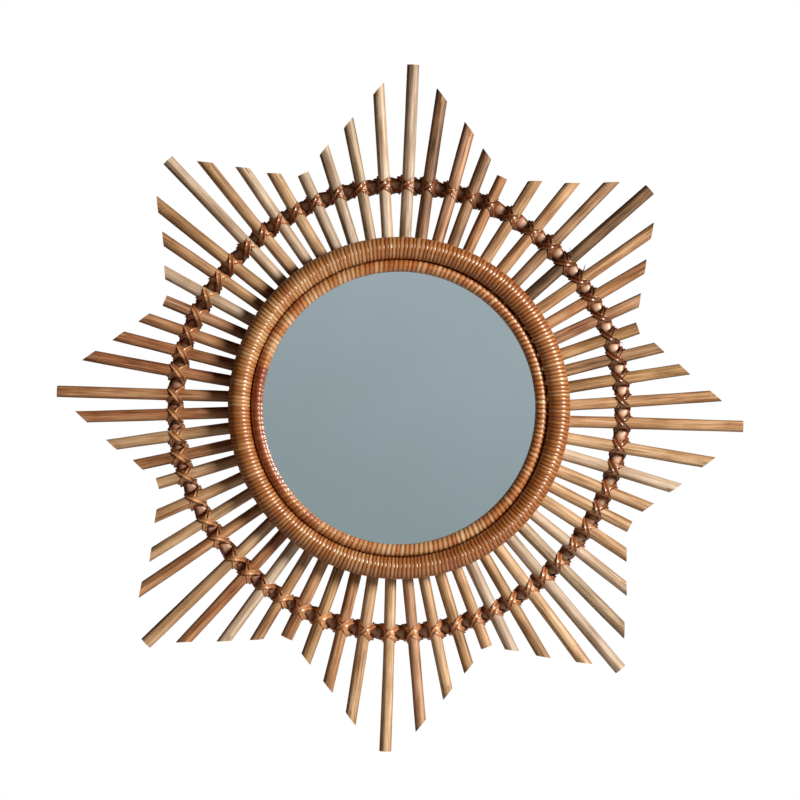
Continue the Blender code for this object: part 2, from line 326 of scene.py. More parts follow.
def cut_away(shape, cutters):
    """Cut each cutter's solid out of a bmesh and throw the cutters away."""
    work = link_object("uncut", mesh_from("uncut", shape))
    for cutter in cutters:
        step = work.modifiers.new("cut", "BOOLEAN")
        step.operation = "DIFFERENCE"
        step.solver = "EXACT"
        step.object = cutter
    bpy.context.view_layer.update()
    cut = bpy.data.meshes.new_from_object(work.evaluated_get(bpy.context.evaluated_depsgraph_get()))
    result = bmesh.new()
    result.from_mesh(cut)
    for old in [work, *cutters]:
        bpy.data.objects.remove(old)
    return result


def plywood():
    """Birch-faced plywood, bare: faint lengthwise grain on the faces, stripes of ply at the edge."""
    made, tree, shader = surface("bare_plywood")
    place = add(tree, "TexCoord").outputs["Object"]
    fibre_place = add(tree, "Mapping", {"Vector": place, "Scale": PLY_FIBRES})
    fibre = add(tree, "TexNoise", {"Vector": fibre_place, "Scale": 1.0, "Detail": 4.0})
    figure_place = add(tree, "Mapping", {"Vector": place, "Scale": PLY_FIGURE})
    figure = add(tree, "TexNoise", {
        "Vector": figure_place,
        "Scale": 1.0,
        "Detail": 3.0,
        "Distortion": 0.6,
    })
    mixed = add(tree, "Mix", {0: 0.45, 2: figure, 3: fibre})
    face = add(tree, "ValToRGB", {"Fac": mixed}, (
        (0.30, "9A7C54"),
        (0.50, "BFA075"),
        (0.72, "D2B78F"),
    ))
    depth = add(tree, "SeparateXYZ", {"Vector": place})
    plies = add(tree, "Math", {0: depth.outputs["Y"], 1: pi / PLY_THICKNESS}, operation="MULTIPLY")
    wave = add(tree, "Math", {0: plies}, operation="SINE")
    stripe = add(tree, "ValToRGB", {"Fac": wave}, (
        (0.42, "8A6A45"),
        (0.58, "C9AB80"),
    ))
    normal = add(tree, "NewGeometry").outputs["True Normal"]
    facing = add(tree, "SeparateXYZ", {"Vector": normal})
    flatness = add(tree, "Math", {0: facing.outputs["Y"]}, operation="ABSOLUTE")
    is_face = add(tree, "Math", {0: flatness, 1: FACE_FLATNESS}, operation="GREATER_THAN")
    colour = add(tree, "Mix", {0: is_face, 6: stripe, 7: face}, data_type="RGBA")
    bump = add(tree, "Bump", {"Height": fibre, "Distance": PLY_FIBRE_DEPTH, "Strength": 0.5})
    feed(tree, shader, {"Base Color": colour.outputs[2], "Roughness": 0.72, "Normal": bump})
    return made


plate_low, plate_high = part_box("hanger_plate")
ring_low, ring_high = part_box("main_ring")
board_radius = ring_high.x - MAIN_RING_OVERHANG
board_thickness = -rod_high.y - PLATE_CLEARANCE
plate_middle = (plate_low.z + plate_high.z) / 2

shape = plate_shape(BOARD_FACETS, board_radius, 0.0, -board_thickness, BOARD_EDGE_BEVEL, 3)
reach = KEYHOLE_ENTRY / 2 + POCKET_MARGIN
seat = cutter_box(
    (plate_low.x - PLATE_CLEARANCE, plate_low.y - PLATE_CLEARANCE, plate_low.z - PLATE_CLEARANCE),
    (plate_high.x + PLATE_CLEARANCE, CUTTER_PAST, plate_high.z + PLATE_CLEARANCE),
)
pocket = cutter_box(
    (-reach, POCKET_FLOOR - board_thickness, plate_middle - KEYHOLE_RISE / 2 - reach),
    (reach, CUTTER_PAST, plate_middle + KEYHOLE_RISE / 2 + reach),
)
shape = cut_away(shape, [seat, pocket])
board = piece("backing_board", shape, "backing_board", plywood(), sharp=30)
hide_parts("backing_board")


# The hanger.
# A keyhole plate of thin steel and its two countersunk screws, zinc plated: a cool satin grey
# with fine scratches, flush with the back of the board.

# The plate's scratches in repeats a metre, along the strip it was stamped from and across it, 0.4
# mm apart. The zinc is spangled every 4.5 mm.
SCRATCHES = (60.0, 2500.0, 2500.0)
SCRATCH_DEPTH = 0.00004
SPANGLES = 220.0


def zinc_plate():
    """Zinc-plated steel, stamped: satin grey, brushed along the strip it was stamped from."""
    made, tree, shader = surface("zinc_plated_steel")
    place = add(tree, "TexCoord").outputs["Object"]
    along = add(tree, "Mapping", {"Vector": place, "Scale": SCRATCHES})
    brushed = add(tree, "TexNoise", {"Vector": along, "Scale": 1.0, "Detail": 3.0})
    spots = add(tree, "TexNoise", {"Vector": place, "Scale": SPANGLES, "Detail": 2.0})
    tone = add(tree, "Mix", {0: 0.5, 2: brushed, 3: spots})
    grey = add(tree, "ValToRGB", {"Fac": tone}, ((0.3, "9EA1A3"), (0.7, "C9CCCE")))
    rough = add(tree, "MapRange", {"Value": spots, "To Min": 0.28, "To Max": 0.46})
    bump = add(tree, "Bump", {"Height": brushed, "Distance": SCRATCH_DEPTH, "Strength": 0.4})
    feed(tree, shader, {"Base Color": grey, "Metallic": 1.0, "Roughness": rough, "Normal": bump})
    return made


zinc = zinc_plate()
for name in ("hanger_plate", "hanger_screw_1", "hanger_screw_2"):
    steel_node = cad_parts[name]
    steel_node.data.materials.clear()
    steel_node.data.materials.append(zinc)


# The rods.
# Sixty-four lengths of bare rattan, cut from canes of every shade from straw to brown. The skin
# is scraped off, so they are matt, streaked lengthwise by their fibres, and never quite straight.
STAR_RADIUS = 0.300
VALLEY_RADIUS = 0.220
ROD_COUNT = 64
RODS_PER_SIDE = 4
ROD_UNDER_RING = 0.0374
ROD_SIDES = 20
ROD_STEP = 0.006
ROD_BEND = 0.0006
ROD_THICKNESSES = (0.96, 1.06)

# A rod moves back to the hoop or forward by these shares of the gap between them.
ROD_GAP = 0.0003
ROD_PLAY = (-0.5, 0.2)

# A rod is drawn this many radii too long, and then cut at its tip.
ROD_SPARE = 1.2

# A cane swells and thins by a share of its thickness, about every 36 mm, and the scraper leaves
# facets on it that are about 4 mm wide and 110 mm long.
ROD_SWELL = 0.045
SWELLS_A_METRE = 28.0
FACET_DEPTH = 0.05
FACETS_A_METRE = (260.0, 260.0, 9.0)

# How far apart, sideways and lengthwise, two rods lie in the chance pattern of their swellings,
# and in that of their grain.
SWELL_STEP = (7.3, 0.37)
GRAIN_STEP = (0.05, 0.41)

# The pattern of scraped rattan in repeats a metre, across a cane and along it: fibres 0.7 mm wide
# and 22 mm long, bands 2.6 mm wide and 83 mm long, and patches 17 mm wide and 29 mm long. The
# fibres at a sawn end stand half a millimetre apart.
FIBRES = (1500.0, 1500.0, 45.0)
FIBRE_DEPTH = 0.0003
BANDS = (380.0, 380.0, 12.0)
PATCHES = (60.0, 60.0, 35.0)
END_FIBRES = 1900.0
END_FIBRE_DEPTH = 0.0002

# Painted shade darkens each rod's sides: it starts at this share of the radius from the middle, and
# at the edge the colour has taken this share of the dark fibre colour.
EDGE_SHADE_FROM = 0.72
EDGE_SHADE_LEFT = 0.62

# How far each square-cut rod stands from its even place, in degrees clockwise seen from the
# front, at the main ring and half way out from the valleys: a point, its valley, and so on.
WANDER_AT_RING = (-0.5, -1.2, 1.8, 1.8, 2.1, 2.1, 1.9, 0.4, 0.4, 1.3, 0.7, 2.3, 1.4, 0.2, -0.4, -1.3)
WANDER_OUTSIDE = (-0.2, -0.8, 1.5, 1.4, 0.5, 2.3, 2.1, 0.1, -0.2, 0.8, -0.3, 2.7, 0.2, -0.5, -0.5, -2.4)

# How far each rod leans from its even place, in degrees clockwise, and how far it reaches beyond
# the star's straight sides, in millimetres: round from the top point, a row from each point on.
ROD_LEANS = (
    0.0, 0.0, 2.1, 1.2, 0.0, 1.7, 2.6, 1.1,
    0.0, 0.9, -0.2, 0.1, 0.0, 0.0, 0.1, 0.7,
    0.7, 2.1, 2.4, 1.5, 0.0, 0.0, 0.0, 1.3,
    0.2, -1.6, 0.0, 0.0, -0.8, -1.9, -2.1, -1.3,
    0.2, 1.6, 0.6, 1.0, 0.6, 1.0, 1.0, 1.8,
    0.2, 3.0, -1.3, -0.8, 0.0, 0.0, 0.0, 1.7,
    0.6, 3.4, 1.9, 1.0, 0.0, -0.3, -0.3, -2.6,
    0.0, -0.9, -1.0, -1.9, -0.5, -0.2, 0.0, 0.5,
)
ROD_REACHES = (
    0.0, 1.5, 1.0, 1.5, 0.8, -2.2, -3.0, -3.8,
    -9.5, -4.5, -3.0, -3.0, 0.0, 0.0, 0.6, 2.5,
    1.0, 0.0, 0.5, 0.8, 6.5, 3.0, 2.5, 2.0,
    -0.8, 0.5, 0.0, 0.0, 2.5, 2.0, 2.5, 3.5,
    0.0, 0.0, 0.3, 0.5, 3.5, 4.0, 3.5, 3.0,
    2.0, 1.5, 1.0, -0.8, 1.0, 0.0, 2.0, 3.0,
    -1.0, 0.0, 2.0, 3.0, 5.0, 3.0, 2.5, 1.5,
    -4.0, -1.0, -0.5, -1.0, 1.0, 1.5, 2.0, 5.0,
)

# The shade of each rod, round from the top point: eight to a row, each row from a point on.
ROD_SHADES = "pdrnostn" "btorgngt" "tswssswk" "psgptgsr" "ssogotwu" "sostsosu" "ouuorwtg" "wswsppkw"

# Each shade's slot and name, and its dark fibre, body and pale fibre colours.
SHADE_COLOURS = {
    "w": ("rattan_pale_straw", "bleached_rattan", "9A7E60", "C5AE97", "E0D0BC"),
    "p": ("rattan_pale_straw", "pale_straw_rattan", "81684E", "AE9882", "CDBDAC"),
    "s": ("rattan_straw", "straw_rattan", "8C6642", "BE9A74", "DBBE9B"),
    "t": ("rattan_tan", "tan_rattan", "7B5133", "B48B63", "D2AD87"),
    "g": ("rattan_golden", "golden_rattan", "6E4A2A", "A47E55", "C6A278"),
    "o": ("rattan_orange_tan", "orange_tan_rattan", "744729", "AC7C53", "CDA27C"),
    "r": ("rattan_reddish", "reddish_rattan", "6E432C", "A87C5C", "C9A182"),
    "n": ("rattan_dark", "brown_rattan", "593D27", "926F52", "B79372"),
    "d": ("rattan_dark", "dark_rattan", "4A2D1C", "835E42", "AD8865"),
    "u": ("rattan_orange_tan", "rust_rattan", "683A20", "A26B45", "C6966E"),
    "b": ("rattan_dark", "smoked_rattan", "3C281A", "70543A", "9E7E5A"),
    "k": ("rattan_grey_straw", "grey_straw_rattan", "635039", "A0896E", "C6B095"),
}


def bare_rattan(name, dark, body, pale):
    """Scraped rattan: bundles of fibre under a millimetre wide show as streaks with a dull sheen.

    The sides that turn away and lie against the next cane are darkened in the colour: painted shade.
    """
    made, tree, shader = surface(name)
    grain = add(tree, "Attribute", attribute_name="grain").outputs["Vector"]
    fibres, bands, patches = (
        add(tree, "TexNoise", {
            "Vector": add(tree, "Mapping", {"Vector": grain, "Scale": scale}),
            "Scale": 1.0,
            "Detail": detail,
        })
        for scale, detail in ((FIBRES, 3.0), (BANDS, 2.0), (PATCHES, 2.0))
    )
    streaks = add(tree, "Mix", {0: 0.5, 2: fibres, 3: bands})
    tone = add(tree, "Mix", {0: 0.25, 2: streaks, 3: patches})
    scraped = add(tree, "ValToRGB", {"Fac": tone}, (
        (0.39, dark),
        (0.50, body),
        (0.60, pale),
    ))
    # Painted shade: the rod's sides, where they turn away, are mixed toward the dark fibre colour.
    side = add(tree, "MapRange", {
        "Value": add(tree, "Attribute", attribute_name="side").outputs["Fac"],
        "From Min": EDGE_SHADE_FROM,
        "From Max": 1.0,
        "To Max": EDGE_SHADE_LEFT,
    })
    edge_shaded = add(tree, "Mix", {0: side, 6: scraped, 7: linear(dark)}, data_type="RGBA")
    rough = add(tree, "MapRange", {"Value": bands, "To Min": 0.42, "To Max": 0.66})
    bump = add(tree, "Bump", {"Height": fibres, "Distance": FIBRE_DEPTH, "Strength": 0.6})
    feed(tree, shader, {"Base Color": edge_shaded.outputs[2], "Roughness": rough, "Normal": bump})
    return made


def end_grain():
    """The sawn end of a cane: brown, dotted all over with the cut ends of its fibres."""
    made, tree, shader = surface("rattan_end_grain")
    grain = add(tree, "Attribute", attribute_name="grain").outputs["Vector"]
    flat = add(tree, "Mapping", {"Vector": grain, "Scale": (1.0, 1.0, 0.2)})
    pores = add(tree, "TexVoronoi", {"Vector": flat, "Scale": END_FIBRES})
    dotted = add(tree, "ValToRGB", {"Fac": pores}, (
        (0.10, "4A3220"),
        (0.35, "8E6E4C"),
        (0.7, "B89A74"),
    ))
    bump = add(tree, "Bump", {"Height": pores, "Distance": END_FIBRE_DEPTH, "Strength": 0.7})
    feed(tree, shader, {"Base Color": dotted, "Roughness": 0.85, "Normal": bump})
    return made


def clock_way(angle):
    """The way out from the centre at an angle clockwise from the top."""
    return Vector((sin(angle), 0.0, cos(angle)))


def rod_angle(number, wander):
    """The angle of a rod: square-cut rods stand where laid, the rest evenly between them."""
    before = number // RODS_PER_SIDE
    share = number % RODS_PER_SIDE / RODS_PER_SIDE
    step = 2 * pi * RODS_PER_SIDE / ROD_COUNT
    start = before * step + radians(wander[before % len(wander)])
    end = (before + 1) * step + radians(wander[(before + 1) % len(wander)])
    return start + (end - start) * share


def rod_line(number):
    """Where a rod's middle line leaves the main ring, and the way that it runs."""
    at_ring = clock_way(rod_angle(number, WANDER_AT_RING)) * ring_high.x
    outside = clock_way(rod_angle(number, WANDER_OUTSIDE)) * (STAR_RADIUS + VALLEY_RADIUS) / 2
    lean = Matrix.Rotation(radians(ROD_LEANS[number]), 3, "Y")
    return at_ring, lean @ (outside - at_ring).normalized()


def rod_end(number):
    """How far out a rod ends, and how far its cut is turned from square."""
    steps = number % (2 * RODS_PER_SIDE)
    from_point = min(steps, 2 * RODS_PER_SIDE - steps)
    if from_point == 0:
        return STAR_RADIUS, 0.0
    if from_point == RODS_PER_SIDE:
        return VALLEY_RADIUS, 0.0
    side = 1 if steps < RODS_PER_SIDE else -1
    valley_angle = 2 * pi * RODS_PER_SIDE / ROD_COUNT
    corner = Vector((rod_radius, STAR_RADIUS))
    valley = Vector((sin(valley_angle), cos(valley_angle))) * VALLEY_RADIUS
    along = (valley - corner).normalized()
    square_to_side = Vector((-along.y, along.x))
    angle = valley_angle * from_point / RODS_PER_SIDE
    out = Vector((sin(angle), cos(angle)))
    return square_to_side.dot(corner) / square_to_side.dot(out), side * out.angle(square_to_side)


def rod_shape(number):
    """One rod, drawn out in short steps, cut at its tip, then swelled, bent and laid in place."""
    chance = random.Random(number)
    at_ring, along = rod_line(number)
    reach, cut_turn = rod_end(number)
    reach += ROD_REACHES[number] / 1000
    across = along.cross(Vector((0.0, 1.0, 0.0)))
    bend_across = chance.uniform(-ROD_BEND, ROD_BEND)
    thickness = chance.uniform(*ROD_THICKNESSES)
    play = chance.uniform(*ROD_PLAY) * ROD_GAP
    start = -ROD_UNDER_RING
    end = reach - ring_high.x + rod_radius * (ROD_SPARE + tan(abs(cut_turn)))
    steps = round((end - start) / ROD_STEP)
    shape = bmesh.new()
    bmesh.ops.create_circle(shape, cap_ends=True, segments=ROD_SIDES, radius=rod_radius)
    ends = shape.faces[:]
    for _ in range(steps):
        grown = bmesh.ops.extrude_face_region(shape, geom=ends)
        ends = [item for item in grown["geom"] if isinstance(item, bmesh.types.BMFace)]
        corners = [item for item in grown["geom"] if isinstance(item, bmesh.types.BMVert)]
        bmesh.ops.translate(shape, verts=corners, vec=(0.0, 0.0, (end - start) / steps))
    bmesh.ops.recalc_face_normals(shape, faces=shape.faces)
    tip = reach - ring_high.x - start
    cut = bmesh.ops.bisect_plane(
        shape,
        geom=shape.verts[:] + shape.edges[:] + shape.faces[:],
        plane_co=(0.0, 0.0, tip),
        plane_no=(sin(cut_turn), 0.0, cos(cut_turn)),
        clear_outer=True,
    )
    rim = [item for item in cut["geom_cut"] if isinstance(item, bmesh.types.BMEdge)]
    bmesh.ops.contextual_create(shape, geom=rim)
    grain = shape.verts.layers.float_vector.new("grain")
    # The attribute side, how far a corner lies from the rod's middle, places the painted shade on the
    # rod's sides.
    side = shape.verts.layers.float.new("side")
    seed = Vector((number * SWELL_STEP[0], 0.0, number * SWELL_STEP[1]))
    own_grain = Vector((number * GRAIN_STEP[0], 0.0, number * GRAIN_STEP[1]))
    for vertex in shape.verts:
        vertex[grain] = vertex.co + own_grain
        vertex[side] = abs(vertex.co.x) / rod_radius
        share = vertex.co.z / tip
        swell = 1.0 + ROD_SWELL * noise.noise(seed + Vector((0.0, 0.0, vertex.co.z * SWELLS_A_METRE)))
        swell += FACET_DEPTH * noise.noise(seed + vertex.co * Vector(FACETS_A_METRE))
        bow = sin(pi * share) * bend_across
        vertex.co.x = vertex.co.x * swell * thickness + bow
        vertex.co.y = vertex.co.y * min(swell, 1.0) + play
    place = Matrix((-across, Vector((0.0, 1.0, 0.0)), along)).transposed().to_4x4()
    place.translation = at_ring + along * start + Vector((0.0, rod_plane, 0.0))
    bmesh.ops.transform(shape, matrix=place, verts=shape.verts)
    bmesh.ops.recalc_face_normals(shape, faces=shape.faces)
    for face in shape.faces:
        is_end = len(face.verts) > 4
        face.material_index = int(is_end)
        face.smooth = not is_end
        for edge in face.edges if is_end else ():
            edge.smooth = False
    return shape


rod_radius = (rod_high.y - rod_low.y) / 2
sawn_end = end_grain()
rattan_looks = {shade: bare_rattan(*values[1:]) for shade, values in SHADE_COLOURS.items()}
for number in range(ROD_COUNT):
    shade = ROD_SHADES[number]
    node_name = f"rod_{number + 1:02d}"
    square_cut = number % RODS_PER_SIDE == 0
    slot = SHADE_COLOURS[shade][0]
    rod = piece(f"cane_{number + 1:02d}", rod_shape(number), slot, rattan_looks[shade], sawn_end)
    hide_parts("backing_board" if square_cut else node_name)


# The outer hoop.
# A cane bent to a ring behind the rods, wound from end to end with strips of dark glossy peel.
# Between the rods the winding swells forward: it is fat just past a rod and thin before the next.
HOOP_RADIUS = 0.1955
HOOP_SAG = 0.001
HOOP_SQUARENESS = 0.0022
HOOP_HALF_DEPTH = 0.0044
HOOP_TURNS_PER_ROD = 3
HOOP_CROWN = 0.00022

# Between two rods the hoop is fatter or thinner than elsewhere by up to this share, by chance.
HOOP_UNLIKENESS = 0.06
HOOP_SEED = 4.0
HOOP_SEED_STEP = 1.7

# Half the hoop's width on the whole, which gives the length of its peel.
HOOP_HALF_WIDTH = 0.0070

# The winding's outer edge, inner edge and front at even steps from one rod clockwise to the next,
# in millimetres from the hoop's middle line.
HOOP_OUTLINE = (
    (5.8, 5.6, 4.4),
    (6.7, 6.7, 4.5),
    (7.3, 7.1, 5.8),
    (6.7, 6.6, 6.8),
    (5.9, 5.7, 6.2),
    (5.3, 5.0, 4.7),
)

# Places round a ring go from 0 to 1, clockwise from its left side. The hoop's peel has one tone
# and one strength of groove stain with painted crease shade all round, but a pale painted highlight
# lies on its fronts to shares that change, strongest on the upper right, toward the lamp.
HOOP_LENGTHS = ((0.0, 0.5), (1.0, 0.5))
HOOP_GROOVE_STAIN_AND_SHADE = ((0.0, 0.9), (1.0, 0.9))
HOOP_HIGHLIGHT = (
    (0.0, 0.55), (0.12, 0.62), (0.25, 0.70), (0.38, 0.95), (0.55, 0.85), (0.65, 0.70),
    (0.75, 0.34), (1.0, 0.55),
)

# How far forward of the hoop's middle the painted highlight starts, and is full, and its pale colour.
HIGHLIGHT_FROM = 0.0048
HIGHLIGHT_IN_FULL = 0.0066
HIGHLIGHT_COLOUR = "E8CBB2"

# Corners of a mesh nearer than this are one corner.
MERGE_DISTANCE = 0.000002

# How fast the places, heights and slants of a winding's turns change from turn to turn, how round
# a turn's back is, and how high turns stand, ride up and tilt as shares of their crown. The
# smooth chance by which a turn rides up counts up to the cap.
WAVER_RATE = 0.9
LIFT_RATE = 0.8
TILT_RATE = 0.7
TURN_ROUNDNESS = 2.1
TURN_HEIGHT = 0.85
TURN_LIFT = 0.3
TURN_TILT = 0.9
LIFT_CAP = 0.5
LIFT_SEED = 5.0
TILT_SEED = 13.0

# The lines of the peel, in repeats across the strip, a metre along it, and from turn to turn: each
# is about 0.4 mm wide and 17 mm long.
PEEL_LINES = (9.0, 60.0, 3.7)
PEEL_LINE_DEPTH = 0.00025

# At what shares of the way from the strip's middle to its edge the groove colour starts, and is
# full: stain with painted crease shade on the rings and hoop, a painted highlight on the lashings.
EDGE_TINT_FROM = 0.24
EDGE_TINT_IN_FULL = 0.90

# How much the drift of colour and the place round the ring count for in a turn's tone.
DRIFT_SHARE = 0.4
PLACE_SHARE = 0.45

# How much rougher the peel is between its lines, and how much smoother the golden varnish on it.
PEEL_ROUGHNESS_STEP = 0.16
VARNISH_TINT = "FFE6BC"


def ring_noise(turn, turns, rate, seed):
    """Smooth chance along a winding, the same at its end as at its start."""
    angle = 2 * pi * turn / turns
    radius = turns * rate / (2 * pi)
    return noise.noise(Vector((radius * cos(angle), radius * sin(angle), seed)))


def band_grid(rows, columns):
    """A grid to bend into a band, and the row and column of each of its corners."""
    shape = bmesh.new()
    bmesh.ops.create_grid(shape, x_segments=rows, y_segments=columns, size=0.5)
    return shape, {
        vertex: (round((vertex.co.x + 0.5) * rows), round((vertex.co.y + 0.5) * columns))
        for vertex in shape.verts
    }


def wound_shape(
    radius, depth, half_width, half_depth, turns, rows, sides, crown, uneven, seed,
    where=None, swell=None,
):
    """A ring wound with one long strip of peel.

    A grid is bent round a hoop's section and drawn onto the turns of the strip, so that the end
    of each turn is the start of the next. Each turn is crowned between two grooves, and the turns
    differ a little in width, slant and height. The attribute peel holds how far across the strip
    a corner is, how far along it, and the turn's number. Where the turns don't lie evenly, one
    function gives the angle at which each starts, and another the outer, inner and front sizes.
    """
    shape, places = band_grid(turns * rows, sides)
    peel = shape.loops.layers.float_vector.new("peel")
    for face in shape.faces:
        face.smooth = True
        turn = min(places[vertex][0] for vertex in face.verts) // rows
        for loop in face.loops:
            row, column = places[loop.vert]
            length = (turn + column / sides) * pi * (half_width + half_depth)
            loop[peel] = Vector(((row - turn * rows) / rows, length, turn))
    for edge in shape.edges:
        first, second = (places[vertex] for vertex in edge.verts)
        if first[0] == second[0] and first[0] % rows == 0:
            edge.smooth = False
    for vertex, (row, column) in places.items():
        turn, step = divmod(row, rows)
        share = step / rows
        wrap = column / sides
        edges = []
        for edge_turn in (turn + wrap, turn + 1 + wrap):
            sway = uneven * ring_noise(edge_turn, turns, WAVER_RATE, seed)
            edges.append(where(edge_turn + sway) if where else (edge_turn + sway) / turns * 2 * pi)
        clock = edges[0] + (edges[1] - edges[0]) * share
        bulge = 1.0 - abs(2 * share - 1) ** TURN_ROUNDNESS
        lift = ring_noise(turn + wrap, turns, LIFT_RATE, seed + LIFT_SEED)
        tilt = ring_noise(turn + wrap, turns, TILT_RATE, seed + TILT_SEED)
        tilt *= (share - 0.5) * sin(pi * share)
        height = TURN_HEIGHT + TURN_LIFT * min(lift, LIFT_CAP)
        low = crown * (1.0 - bulge * height - TURN_TILT * tilt)
        section = -wrap * 2 * pi
        outer, inner, front = swell(turn + share + wrap) if swell else (half_width, half_width, half_depth)
        out = radius + ((outer if sin(section) > 0 else inner) - low) * sin(section)
        back = ((half_depth if cos(section) > 0 else front) - low) * cos(section)
        vertex.co = Vector((out * sin(clock), back - depth, out * cos(clock)))
    bmesh.ops.remove_doubles(shape, verts=shape.verts, dist=MERGE_DISTANCE)
    bmesh.ops.recalc_face_normals(shape, faces=shape.faces)
    return shape


def round_the_ring(tree, table):
    """A value that changes round a ring: pairs of a place, clockwise from the left, and a value."""
    place = add(tree, "TexCoord").outputs["Object"]
    faced = add(tree, "Mapping", {"Vector": place, "Rotation": (pi / 2, 0.0, 0.0)})
    around = add(tree, "TexGradient", {"Vector": faced}, gradient_type="RADIAL")
    return add(tree, "ValToRGB", {"Fac": around.outputs["Fac"]}, table)


def glossy_peel(name, groove, dark, body, pale, lengths, edge_tints, drift, streak, roughness):
    """The glassy outer skin of rattan, stained and varnished.

    It runs in fine lines along the strip, each turn has a shade of its own, the colour turns to the
    groove colour near the strip's edges, and a wider drift of colour runs round the whole ring. On
    the rings and hoop the groove colour is dark, for stain in the joints and painted shade in the
    creases; on the lashings it is pale, a painted highlight on the strip's curled edges.
    """
    made, tree, shader = surface(name)
    strip = add(tree, "Attribute", attribute_name="peel").outputs["Vector"]
    parts = add(tree, "SeparateXYZ", {"Vector": strip})
    drawn_out = add(tree, "Mapping", {"Vector": strip, "Scale": PEEL_LINES})
    lines = add(tree, "TexNoise", {"Vector": drawn_out, "Scale": 1.0, "Detail": 3.0})
    each = add(tree, "TexWhiteNoise", {"W": parts.outputs["Z"]}, noise_dimensions="1D")
    place = add(tree, "TexCoord").outputs["Object"]
    wide = add(tree, "TexNoise", {"Vector": place, "Scale": 1.0 / drift, "Detail": 2.0})
    turn = add(tree, "Mix", {0: streak, 2: each, 3: lines})
    drifting = add(tree, "Mix", {0: DRIFT_SHARE, 2: turn, 3: wide})
    tone = add(tree, "Mix", {0: PLACE_SHARE, 2: drifting, 3: round_the_ring(tree, lengths)})
    skin = add(tree, "ValToRGB", {"Fac": tone}, (
        (0.30, dark),
        (0.5, body),
        (0.70, pale),
    ))
    off_middle = add(tree, "Math", {0: parts.outputs["X"], 1: 2.0, 2: -1.0}, operation="MULTIPLY_ADD")
    steep = add(tree, "Math", {0: off_middle}, operation="ABSOLUTE")
    # Near the strip's edges the colour goes to the groove colour: stain with painted crease shade, or on
    # the lashings a pale painted highlight.
    near_edge = add(tree, "MapRange", {
        "Value": steep,
        "From Min": EDGE_TINT_FROM,
        "From Max": EDGE_TINT_IN_FULL,
        "To Max": round_the_ring(tree, edge_tints),
    })
    edge_tinted = add(tree, "Mix", {0: near_edge, 6: skin, 7: linear(groove)}, data_type="RGBA")
    rough = add(tree, "MapRange", {
        "Value": lines,
        "To Min": roughness,
        "To Max": roughness + PEEL_ROUGHNESS_STEP,
    })
    bump = add(tree, "Bump", {"Height": lines, "Distance": PEEL_LINE_DEPTH, "Strength": 0.5})
    feed(tree, shader, {
        "Base Color": edge_tinted.outputs[2],
        "Roughness": rough,
        "Specular IOR Level": 0.7,
        "Specular Tint": linear(VARNISH_TINT),
        "Coat Weight": 0.85,
        "Coat IOR": 1.6,
        "Coat Roughness": roughness - PEEL_ROUGHNESS_STEP,
        "Normal": bump,
    })
    return made


def out_of_round(clock):
    """How far the hoop lies outside its even circle: it sags, and four sides are drawn in."""
    return -HOOP_SAG * cos(clock) - HOOP_SQUARENESS * (1.0 - cos(4 * clock)) / 2


def crossing_clock(number):
    """The angle from the top at which a rod crosses the hoop, on from the one before."""
    at_ring, along = rod_line(number % ROD_COUNT)
    crossing = at_ring + along * (HOOP_RADIUS - ring_high.x)
    turn = atan2(crossing.x, crossing.z) / (2 * pi) * ROD_COUNT
    turn += ROD_COUNT * round((number - turn) / ROD_COUNT)
    return turn / ROD_COUNT * 2 * pi


def through(points, place):
    """A smooth closed curve through points, at a place counted in points."""
    number = int(place)
    part = place - number
    a, b, c, d = (points[(number + step) % len(points)] for step in (-1, 0, 1, 2))
    return [
        q + 0.5 * part * (r - p + part * (2 * p - 5 * q + 4 * r - s + part * (3 * (q - r) + s - p)))
        for p, q, r, s in zip(a, b, c, d)
    ]


def between_rods(turn):
    """The angle at which a turn of the hoop's peel starts, counted from rod to rod."""
    number, part = divmod(turn / HOOP_TURNS_PER_ROD, 1.0)
    start = crossing_clocks[int(number)]
    return start + (crossing_clocks[int(number) + 1] - start) * part


def swelling(turn):
    """The outer, inner and front sizes of the hoop's winding at a turn, in metres."""
    number, part = divmod(turn / HOOP_TURNS_PER_ROD, 1.0)
    sizes = through(HOOP_OUTLINE, part * len(HOOP_OUTLINE))
    chance = noise.noise(Vector((number % ROD_COUNT * HOOP_SEED_STEP, HOOP_SEED, 0.0)))
    fatter = 1.0 + HOOP_UNLIKENESS * chance * sin(pi * part)
    outer, inner, front = (size * fatter / 1000 for size in sizes)
    out = out_of_round(between_rods(turn))
    return outer + out, inner - out, front


def paint_front_highlight(made, code, start, full, highlight_shares):
    """A painted highlight: pale colour on the places that stand furthest from the wall."""
    tree = made.node_tree
    shader = tree.nodes["Principled BSDF"]
    spot = add(tree, "SeparateXYZ", {"Vector": add(tree, "TexCoord").outputs["Object"]})
    highlight_mask = add(tree, "MapRange", {
        "Value": spot.outputs["Y"],
        "From Min": -start,
        "From Max": -full,
        "To Max": round_the_ring(tree, highlight_shares),
    })
    mixed = add(tree, "Mix", {
        0: highlight_mask,
        6: shader.inputs["Base Color"].links[0].from_socket,
        7: linear(code),
    }, data_type="RGBA")
    feed(tree, shader, {"Base Color": mixed.outputs[2]})


hoop_depth = board_thickness / 2

# The first and last turns sway past the first and last rods, so the table goes on both ways.
crossing_clocks = {number: crossing_clock(number) for number in range(-2, ROD_COUNT + 4)}
dark_peel = glossy_peel(
    "dark_hoop_peel", groove="78381A", dark="883E1E", body="A85A34", pale="CC906A",
    lengths=HOOP_LENGTHS, edge_tints=HOOP_GROOVE_STAIN_AND_SHADE, drift=0.05, streak=0.6, roughness=0.50,
)
